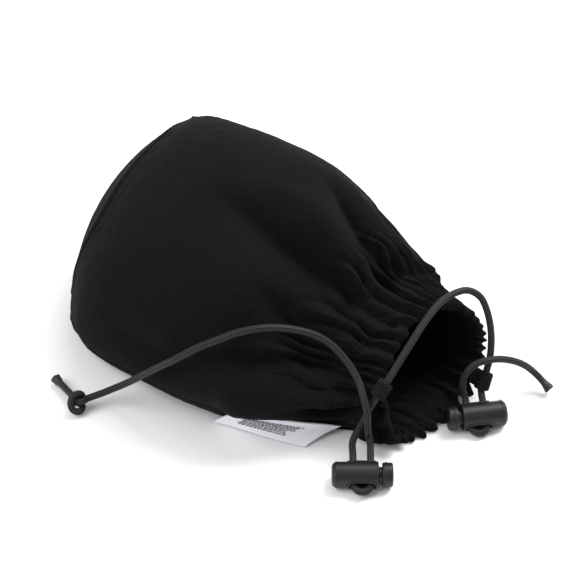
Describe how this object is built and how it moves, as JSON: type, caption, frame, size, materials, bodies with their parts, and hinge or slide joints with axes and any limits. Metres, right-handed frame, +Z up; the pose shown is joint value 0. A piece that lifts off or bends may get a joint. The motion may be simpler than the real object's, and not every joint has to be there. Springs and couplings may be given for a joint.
{
  "type": "soft drawstring glasses pouch",
  "caption": "Soft black fabric pouch for glasses, stuffed and lying on its belly, with a gathered elastic mouth, a round elastic cord in tape loops and spring-loaded barrel cord locks.",
  "frame": {"origin": "on the floor plane, in the middle of the flat part of the pouch's underside (the rest_face mount)", "axes": "+X from the closed end towards the gathered mouth, +Y towards the far side seam, +Z up from the surface the pouch lies on"},
  "size_m": [0.1795, 0.1193, 0.0724],
  "materials": {
    "pouch_fabric": "matte twill",
    "binding": "matte",
    "flat_elastic": "matte knit",
    "ribbed_tape": "grosgrain",
    "label_cloth": "satin",
    "round_elastic_cord": "braided",
    "fused_end": "rough",
    "lock_plastic": "satin moulded",
    "spring_steel": "drawn wire"
  },
  "bodies": {
    "pouch": {"front_panel": "pouch_fabric", "back_panel": "pouch_fabric", "seam_binding": "binding", "mouth_casing": "pouch_fabric", "mouth_elastic": "flat_elastic", "near_tape_loop": "ribbed_tape", "far_tape_loop": "ribbed_tape", "care_label": "label_cloth", "cord_tail": "round_elastic_cord", "cord_span": "round_elastic_cord", "cord_far": "round_elastic_cord", "cord_knot": "round_elastic_cord", "tail_tip": "fused_end", "far_tip": "fused_end"},
    "near_lock": {"near_lock_barrel": "lock_plastic", "near_lock_spring": "spring_steel"},
    "near_button": {"near_lock_plunger": "lock_plastic"},
    "far_lock": {"far_lock_barrel": "lock_plastic", "far_lock_spring": "spring_steel"},
    "far_button": {"far_lock_plunger": "lock_plastic"}
  },
  "joints": [
    {"name": "near_lock_on_cord", "type": "slide", "parent": "pouch", "child": "near_lock", "axis": [-0.5813, 0.7714, 0.2588], "range_m": [0, 0.008]},
    {"name": "near_button_press", "type": "slide", "parent": "near_lock", "child": "near_button", "axis": [-0.7986, -0.6018, 0], "range_m": [0, 0.0011], "stiffness_N_per_m": 300, "deforming": ["near_lock_spring"]},
    {"name": "far_lock_on_cord", "type": "slide", "parent": "pouch", "child": "far_lock", "axis": [-0.6571, 0.6346, 0.4067], "range_m": [0, 0.0024]},
    {"name": "far_button_press", "type": "slide", "parent": "far_lock", "child": "far_button", "axis": [0.6947, 0.7193, 0], "range_m": [0, 0.0011], "stiffness_N_per_m": 300, "deforming": ["far_lock_spring"]}
  ]
}
